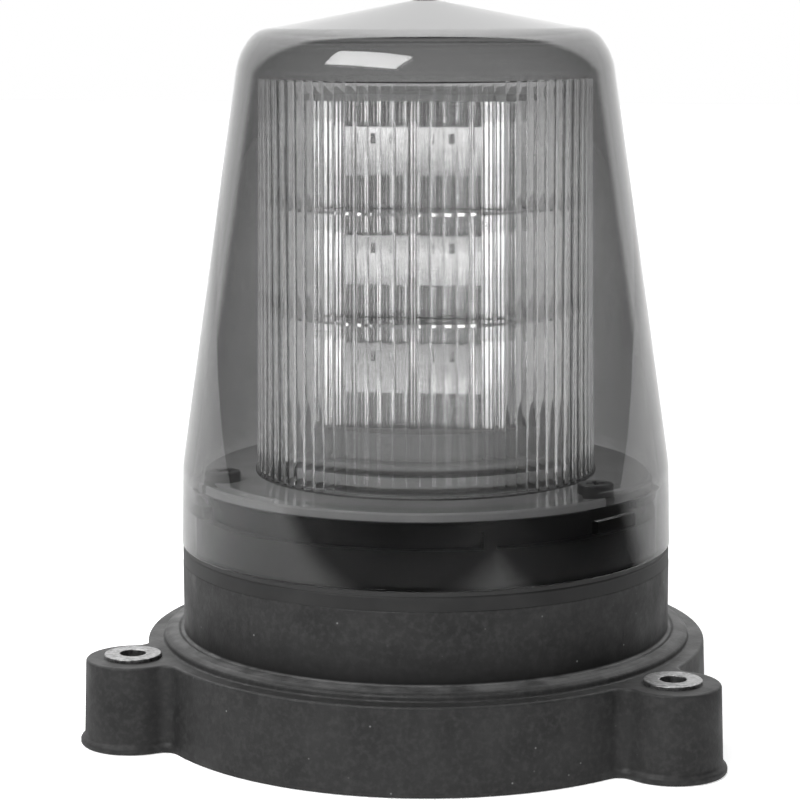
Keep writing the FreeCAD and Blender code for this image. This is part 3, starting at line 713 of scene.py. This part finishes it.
def make_foot():
    """Rubber foot: ring with lugs, bead and neck, hollow below, with holes for the bushes."""
    mesh = bmesh.new()

    def plan_row(ring, lug, height):
        return [mesh.verts.new((x * MM, y * MM, height * MM)) for x, y, _ in foot_plan(ring, lug)]

    angles = [angle for _, _, angle in foot_plan(RING_RADIUS, LUG_RADIUS)]

    def round_row(radius, height):
        return [mesh.verts.new(round_point(radius, angle, height)) for angle in angles]

    rows = []
    lip = LUG_RADIUS + FOOT_DRAFT + LUG_LIP
    draft_ring = RING_RADIUS + FOOT_DRAFT
    draft_lug = LUG_RADIUS + FOOT_DRAFT
    rows.append(plan_row(draft_ring, lip - 0.25, 0.0))
    rows.append(plan_row(draft_ring, lip, 0.3))
    rows.append(plan_row(draft_ring, lip, 1.0))
    rows.append(plan_row(draft_ring, lip - 0.2, 1.4))
    rows.append(plan_row(draft_ring, draft_lug + 0.15, 1.75))
    rows.append(plan_row(draft_ring - 0.08, draft_lug - 0.08, 2.2))
    for turn in (0.0, 22.5, 45.0, 67.5, 90.0):
        step_in = EDGE_EASE * (1 - math.cos(math.radians(turn)))
        drop = EDGE_EASE * (1 - math.sin(math.radians(turn)))
        rows.append(plan_row(RING_RADIUS - step_in, LUG_RADIUS - step_in, RING_HEIGHT - drop))
    top = eased([
        (BEAD_RADIUS + 1.4, RING_HEIGHT), (BEAD_RADIUS, RING_HEIGHT, 0.5),
        (BEAD_RADIUS - 0.1, RING_HEIGHT + 1.2, 0.8), (BEAD_RADIUS - 1.4, BEAD_TOP - 0.35, 1.2),
        (NECK_RADIUS + 1.2, BEAD_TOP, 0.8), (NECK_RADIUS, BEAD_TOP - 0.9, 0.6),
        (NECK_RADIUS, NECK_TOP, 0.3), (NECK_BORE, NECK_TOP, 0.3), (NECK_BORE, HOUSING_LIFT),
        (NECK_BORE - 4.5, HOUSING_LIFT), (NECK_BORE - 4.5, 1.5), (NECK_BORE - 2.25, 0.0),
        (CHANNEL_INNER, 0.0), (CHANNEL_INNER, CHANNEL_HEIGHT),
        (CHANNEL_OUTER, CHANNEL_HEIGHT), (CHANNEL_OUTER, 0.0),
    ], steps=5, closed=False)
    for radius, height in top:
        rows.append(round_row(radius, height))
    count = len(angles)
    for i in range(len(rows)):
        lower = rows[i]
        upper = rows[(i + 1) % len(rows)]
        for k in range(count):
            after = (k + 1) % count
            mesh.faces.new((lower[k], lower[after], upper[after], upper[k]))
    bmesh.ops.recalc_face_normals(mesh, faces=mesh.faces)
    shape = raw_object("rubber_foot_moulding", mesh)
    drill = bmesh.new()
    hole = (BUSH_RADIUS + 0.05) * MM
    for lug_angle in LUG_ANGLES:
        spot = Matrix.Translation(round_point(LUG_CIRCLE, math.radians(lug_angle), RING_HEIGHT / 2))
        bmesh.ops.create_cone(drill, cap_ends=True, segments=48, radius1=hole, radius2=hole,
                              depth=0.03, matrix=spot)
    cut_out(shape, drill)
    smooth(shape)
    shape.data.materials.clear()
    shape.data.materials.append(finishes["foot_rubber"])
    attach(shape, "base")
    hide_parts("rubber_foot")


def make_bushes(pattern):
    """Flanged steel bushes in the lugs."""
    profile = eased([
        (BUSH_BORE, 0.0), (BUSH_RADIUS, 0.0), (BUSH_RADIUS, RING_HEIGHT), (BUSH_FLANGE, RING_HEIGHT),
        (BUSH_FLANGE, BUSH_TOP, 0.3), (BUSH_BORE, BUSH_TOP, 0.25),
    ], steps=4)
    mesh = turned_mesh(profile, 40)
    bmesh.ops.translate(mesh, verts=mesh.verts, vec=(LUG_CIRCLE * MM, 0.0, 0.0))
    shape = raw_object("steel_bushes", mesh)
    set_round(shape, pattern, len(LUG_ANGLES), LUG_ANGLES[0], finishes["bush_steel"])
    settle(shape)
    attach(shape, "base")
    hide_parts("lug_bushes")


# Reflectors

def closed_loft(mesh, rows):
    """Closed shape through successive rows of as many points, in millimetres."""
    lines = [[mesh.verts.new(Vector(point) * MM) for point in row] for row in rows]
    for lower, upper in zip(lines, lines[1:]):
        for k in range(len(lower)):
            mesh.faces.new((lower[k - 1], lower[k], upper[k], upper[k - 1]))
    mesh.faces.new(lines[0])
    mesh.faces.new(lines[-1])


def cut_out(shape, cutter_mesh):
    """Cut a mesh of closed shapes out of a piece."""
    bmesh.ops.recalc_face_normals(cutter_mesh, faces=cutter_mesh.faces)
    cutter = raw_object("cutter", cutter_mesh)
    cut = shape.modifiers.new("cut", "BOOLEAN")
    cut.operation = "DIFFERENCE"
    cut.solver = "EXACT"
    cut.object = cutter
    bake(shape)
    bpy.data.objects.remove(cutter)


def reflector_plan():
    """Outline of one reflector plate seen from above, with its half-round rib and slanting wings."""
    back = FACE_FRONT - REFLECTOR_DEPTH
    plate = FACE_FRONT - RIB_RISE
    half_turn = math.acos((RIB_RADIUS - RIB_RISE) / RIB_RADIUS)
    points = [(back, MITRE_GAP - back), (FACE_HALF_WIDTH + MITRE_GAP, -FACE_HALF_WIDTH),
              (plate - WING_FALL, -FACE_HALF_WIDTH), (plate, -WING_START)]
    for k in range(15):
        turn = half_turn * (k / 7 - 1)
        points.append((FACE_FRONT - RIB_RADIUS + RIB_RADIUS * math.cos(turn), RIB_RADIUS * math.sin(turn)))
    points += [(plate, WING_START), (plate - WING_FALL, FACE_HALF_WIDTH),
               (FACE_HALF_WIDTH + MITRE_GAP, FACE_HALF_WIDTH), (back, back - MITRE_GAP)]
    return points


def make_reflectors():
    """Bright reflector plates with upright ribs, a leaning scoop for every lamp and a window in it."""
    back = FACE_FRONT - REFLECTOR_DEPTH
    plate = FACE_FRONT - RIB_RISE
    plan = reflector_plan()
    body = bmesh.new()
    closed_loft(body, [[(x, y, z) for x, y in plan] for z in (TOWER_BOTTOM, REFLECTOR_TOP)])
    bmesh.ops.recalc_face_normals(body, faces=body.faces)
    scoops = bmesh.new()
    windows = bmesh.new()
    pockets = bmesh.new()
    for tier in range(3):
        lip = TOWER_BOTTOM + tier * TIER_PITCH + SCOOP_SILL
        lamp = lip + SCOOP_HEIGHT - LAMP_DROP
        for middle in (-COLUMN_OFFSET, COLUMN_OFFSET):
            profile = [(plate + 1.5, lip + SCOOP_HEIGHT), (plate + 1.5, lip - 1.0)]
            for k in range(-1, 11):
                share = k / 10
                depth = SCOOP_DEPTH * (SCOOP_BOW * share - (SCOOP_BOW - 1) * share * share)
                profile.append((plate - depth, lip + SCOOP_HEIGHT * share))
            sides = (middle - SCOOP_WIDTH / 2, middle + SCOOP_WIDTH / 2)
            closed_loft(scoops, [[(out, side, height) for out, height in profile] for side in sides])
            for hole, half, outs in (
                (pockets, LAMP_POCKET / 2, (back - 1.0, back + 1.0)),
                (windows, LAMP_WINDOW / 2, (back + 0.9, plate - 0.1)),
            ):
                corners = [(middle - half, lamp - half), (middle + half, lamp - half),
                           (middle + half, lamp + half), (middle - half, lamp + half)]
                closed_loft(hole, [[(out, across, height) for across, height in corners] for out in outs])
    first = raw_object("reflector_plate", body)
    cut_out(first, scoops)
    cut_out(first, windows)
    cut_out(first, pockets)
    for number in range(4):
        mesh = bmesh.new()
        mesh.from_mesh(first.data)
        bmesh.ops.rotate(mesh, verts=mesh.verts, cent=(0, 0, 0),
                         matrix=Matrix.Rotation(math.radians(TOWER_ANGLE + 90 * number), 3, "Z"))
        shape = piece(f"reflector_plate_{number + 1}", mesh, 12.0)
        shape.data.materials.clear()
        shape.data.materials.append(finishes["reflector_chrome"])
        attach(shape, "base")
        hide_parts(f"reflector_{number + 1}")
    bpy.data.objects.remove(first)


# Carrier screws

def make_carrier_screws(pattern):
    """Low-head screws with a cross recess at the edge of the carrier disc."""
    head_top = CARRIER_TOP + SCREW_HEAD_HEIGHT
    profile = eased([
        (0.0, head_top), (SCREW_HEAD_RADIUS, head_top, 0.4), (SCREW_HEAD_RADIUS, CARRIER_TOP, 0.1),
        (SCREW_SHANK, CARRIER_TOP), (SCREW_SHANK, CARRIER_TOP - SCREW_LENGTH),
        (0.0, CARRIER_TOP - SCREW_LENGTH),
    ], steps=4, closed=False)
    shape = raw_object("low_head_screws", turned_mesh(profile, 36, closed=False))
    for turn in (45.0, 135.0):
        bar = bmesh.new()
        bmesh.ops.create_cube(bar, size=1.0)
        bmesh.ops.scale(bar, verts=bar.verts,
                        vec=(RECESS_LENGTH * MM, RECESS_WIDTH * MM, 2 * RECESS_DEPTH * MM))
        bmesh.ops.rotate(bar, verts=bar.verts, cent=(0, 0, 0),
                         matrix=Matrix.Rotation(math.radians(turn), 3, "Z"))
        bmesh.ops.translate(bar, verts=bar.verts, vec=(0.0, 0.0, head_top * MM))
        cut_out(shape, bar)
    shape.data.transform(Matrix.Translation((CARRIER_SCREW_CIRCLE * MM, 0.0, 0.0)))
    set_round(shape, pattern, len(LUG_ANGLES), LUG_ANGLES[0], finishes["screw_steel"])
    settle(shape)
    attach(shape, "base")
    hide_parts("carrier_screws")


around = round_pattern("set_round_the_axis")
make_dome()
make_lens(around)
make_foot()
make_bushes(around)
make_reflectors()
make_carrier_screws(around)

# Carried-over pieces take their slot's finish
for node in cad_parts.values():
    slot = node.data.materials[0].name.split(".")[0]
    node.data.materials.clear()
    node.data.materials.append(finishes[slot])


# Stage: floor, world, lamps and camera

def make_floor():
    """Plain pale floor that reads as white, with the studio's dark front half in what mirrors it."""
    finish = moulded("pale_floor", grey(0.86), grey(0.9), 0.8, 0.9, 60.0, 0.00002)
    finish.body.inputs["Emission Color"].default_value = (1.0, 1.0, 1.0, 1.0)
    length = finish.add("ShaderNodeVectorMath", operation="LENGTH")
    finish.link(finish.place, length.inputs[0])
    glow = finish.span(length.outputs["Value"], 0.1, 0.6, 0.25, 1.2)
    ray = finish.add("ShaderNodeLightPath").outputs
    place = finish.split()
    lifted = finish.combine("MULTIPLY_ADD", ray["Is Camera Ray"], 0.35, glow)
    deep = finish.combine("GREATER_THAN", ray["Transmission Depth"], LENS_PASSES)
    under_lens = finish.span(place["Y"], 0.1, 2.0, -0.12, 0.0)
    lens_lit = finish.combine("MULTIPLY_ADD", deep, under_lens, lifted)
    finish.link(lens_lit, finish.body.inputs["Emission Strength"])
    front = finish.span(place["Y"], 1.0, 0.0, -0.26, -0.21)
    far_right = finish.span(place["X"], 0.0, 1.0, 0.18, 0.22)
    right = finish.times(far_right, finish.span(place["Y"], 1.0, 0.0, 0.08, 0.14))
    beyond = finish.combine("MAXIMUM", front, right)
    mirrored = finish.combine("MAXIMUM", ray["Is Glossy Ray"], ray["Is Transmission Ray"])
    shallow = finish.combine("SUBTRACT", mirrored, deep, clamp=True)
    black = finish.add("ShaderNodeEmission")
    black.inputs["Color"].default_value = (*grey(0.05), 1.0)
    finish.shader_mix(finish.times(shallow, beyond), finish.body, black)
    mesh = bmesh.new()
    bmesh.ops.create_grid(mesh, x_segments=1, y_segments=1, size=3.0)
    shape = raw_object("pale_floor", mesh)
    shape.location.z = -0.0002
    shape.data.materials.append(finish.material)


def make_world():
    """White studio behind, dark in front and overhead, plain soft fill for matt surfaces."""
    world = bpy.data.worlds.new("studio")
    bpy.context.scene.world = world
    world.use_nodes = True
    world.cycles.sampling_method = "NONE"
    tree = world.node_tree
    tree.nodes.clear()
    add = tree.nodes.new
    link = tree.links.new

    def ramp(source, from_low, from_high, low, high):
        node = add("ShaderNodeMapRange")
        node.interpolation_type = "SMOOTHSTEP"
        node.inputs["From Min"].default_value = from_low
        node.inputs["From Max"].default_value = from_high
        node.inputs["To Min"].default_value = low
        node.inputs["To Max"].default_value = high
        link(source, node.inputs["Value"])
        return node.outputs["Result"]

    def math_node(kind, first, second):
        node = add("ShaderNodeMath")
        node.operation = kind
        for socket, value in zip(node.inputs, (first, second)):
            if isinstance(value, float):
                socket.default_value = value
            else:
                link(value, socket)
        return node.outputs[0]

    out = add("ShaderNodeOutputWorld")
    path = add("ShaderNodeLightPath")
    coord = add("ShaderNodeTexCoord")
    split = add("ShaderNodeSeparateXYZ")
    link(coord.outputs["Generated"], split.inputs[0])
    away = add("ShaderNodeVectorMath")
    away.operation = "DOT_PRODUCT"
    link(coord.outputs["Generated"], away.inputs[0])
    away.inputs[1].default_value = (-0.155, 0.852, 0.5)
    level_back = add("ShaderNodeVectorMath")
    level_back.operation = "DOT_PRODUCT"
    link(coord.outputs["Generated"], level_back.inputs[0])
    level_back.inputs[1].default_value = (-0.179, 0.984, 0.0)
    ahead = level_back.outputs["Value"]
    behind = ramp(away.outputs["Value"], 0.5, 0.62, 0.0, 1.0)
    cubed = math_node("POWER", split.outputs["Z"], 3.0)
    higher = math_node("ADD", math_node("MULTIPLY", cubed, 6.8), 1.25)
    studio = math_node("ADD", math_node("MULTIPLY", behind, higher), 0.06)
    deep = math_node("GREATER_THAN", path.outputs["Transmission Depth"], LENS_PASSES)
    lens_lit = math_node("ADD", math_node("MULTIPLY", deep, 1.5), 1.0)
    seen_through = math_node("MULTIPLY", ramp(ahead, -0.75, -0.45, 0.1, 1.0), lens_lit)
    level = add("ShaderNodeMix")
    link(path.outputs["Is Transmission Ray"], level.inputs["Factor"])
    link(studio, level.inputs["A"])
    link(seen_through, level.inputs["B"])
    studio = level.outputs["Result"]
    indirect = math_node("MAXIMUM", path.outputs["Is Glossy Ray"], path.outputs["Is Transmission Ray"])
    plain = add("ShaderNodeBackground")
    plain.inputs["Color"].default_value = (1.0, 1.0, 1.0, 1.0)
    plain.inputs["Strength"].default_value = 0.4
    shone = add("ShaderNodeBackground")
    shone.inputs["Color"].default_value = (1.0, 1.0, 1.0, 1.0)
    link(studio, shone.inputs["Strength"])
    white = add("ShaderNodeBackground")
    white.inputs["Color"].default_value = (1.0, 1.0, 1.0, 1.0)
    white.inputs["Strength"].default_value = 1.0
    first = add("ShaderNodeMixShader")
    link(indirect, first.inputs["Fac"])
    link(plain.outputs[0], first.inputs[1])
    link(shone.outputs[0], first.inputs[2])
    final = add("ShaderNodeMixShader")
    link(path.outputs["Is Camera Ray"], final.inputs["Fac"])
    link(first.outputs[0], final.inputs[1])
    link(white.outputs[0], final.inputs[2])
    link(final.outputs[0], out.inputs["Surface"])


def make_softbox(name, place, target, width, height, power):
    """Soft studio lamp aimed at a point."""
    lamp = bpy.data.lights.new(name, "AREA")
    lamp.shape = "RECTANGLE"
    lamp.size = width
    lamp.size_y = height
    lamp.energy = power
    holder = bpy.data.objects.new(name, lamp)
    bpy.context.scene.collection.objects.link(holder)
    holder.location = place
    holder.rotation_euler = (Vector(target) - Vector(place)).to_track_quat("-Z", "Y").to_euler()
    return holder


def panel_glow(finish):
    """Light of a panel, slightly uneven."""
    glow = finish.add("ShaderNodeEmission")
    shade = finish.ramp(finish.noise(3.0), [(0.3, grey(0.95)), (0.7, grey(1.0))])
    finish.link(shade, glow.inputs["Color"])
    return glow


def make_key_panel():
    """Bright panel up at the left front, the light that shows in the dome's shoulder."""
    finish = Finish("panel_light")
    glow = panel_glow(finish)
    glow.inputs["Strength"].default_value = 12.5
    finish.link(glow.outputs[0], finish.out.inputs["Surface"])
    corners = []
    for side, rise in ((-55.5, 26.5), (-8.0, 25.0), (2.0, 45.5), (-57.5, 46.5)):
        side = math.radians(side)
        rise = math.radians(rise)
        level = math.cos(rise)
        corners.append((math.sin(side) * level, -math.cos(side) * level, math.sin(rise) + SHOULDER_HEIGHT))
    mesh = bmesh.new()
    mesh.faces.new([mesh.verts.new(corner) for corner in corners])
    shape = raw_object("panel_light", mesh)
    shape.data.materials.append(finish.material)
    shape.visible_camera = False


def make_strip_panels():
    """Light panels in front that show only through the lens, in its flutes and the scoops."""
    strip_steps = ((0.0, 0.3), (0.08, 0.45), (0.45, 1.0), (0.5, 0.3))
    wide_steps = ((0.0, 0.45), (0.35, 0.55), (0.42, 1.0), (0.9, 0.45))
    for name, strength, steps, start, step, places in (
        ("strip_panels", 24.0, strip_steps, 0.0133, 0.0389,
         ((-19.0, -42.0, 0.0, 0.15), (21.0, 43.0, 0.0, 0.15))),
        ("wide_panels", 8.0, wide_steps, 0.15, 0.19, ((-42.0, 43.0, 0.151, 0.339),)),
    ):
        finish = Finish(name)
        glow = panel_glow(finish)
        height = finish.split()["Z"]
        within = finish.combine("FRACT", finish.span(height, 0.0, 1.0, start, start + step, False))
        level = finish.ramp(within, [(at, grey(value)) for at, value in steps])
        finish.link(finish.span(level, 0.0, strength), glow.inputs["Strength"])
        ray = finish.add("ShaderNodeLightPath").outputs
        deep = finish.combine("GREATER_THAN", ray["Transmission Depth"], LENS_PASSES)
        finish.shader_mix(deep, finish.add("ShaderNodeBsdfTransparent"), glow)
        mesh = bmesh.new()
        for near, far, low, high in places:
            corners = []
            for side, height in ((near, low), (far, low), (far, high), (near, high)):
                side = math.radians(side)
                corners.append((PANEL_REACH * math.sin(side), -PANEL_REACH * math.cos(side), height))
            mesh.faces.new([mesh.verts.new(corner) for corner in corners])
        shape = raw_object(name, mesh)
        shape.data.materials.append(finish.material)
        shape.visible_camera = False
        shape.visible_diffuse = False
        shape.visible_glossy = False
        shape.visible_shadow = False


def make_camera():
    """Camera at the photograph's place."""
    data = bpy.data.cameras.new("camera")
    data.sensor_width = 36.0
    data.lens = 112.6
    data.clip_start = 0.01
    camera = bpy.data.objects.new("camera", data)
    bpy.context.scene.collection.objects.link(camera)
    camera.location = (0.0946, -0.5206, 0.1548)
    turn = Matrix.Rotation(math.radians(10.893), 4, "Z")
    tilt = Matrix.Rotation(math.radians(90 - 9.23), 4, "X")
    roll = Matrix.Rotation(math.radians(-0.14), 4, "Z")
    camera.rotation_euler = (turn @ tilt @ roll).to_euler()
    bpy.context.scene.camera = camera


make_floor()
make_world()
make_key_panel()
make_strip_panels()
overhead = make_softbox("softbox_overhead", (0.0, 0.4, 1.5), (0.0, 0.2, 0.0), 1.6, 1.6, 8.0)
fill = make_softbox("softbox_fill", (0.25, -1.3, 0.5), (0.0, 0.0, 0.1), 1.0, 0.6, 9.0)
for lamp in (overhead, fill):
    lamp.visible_glossy = False
    lamp.visible_transmission = False
make_camera()
bpy.context.scene.view_settings.view_transform = "Standard"
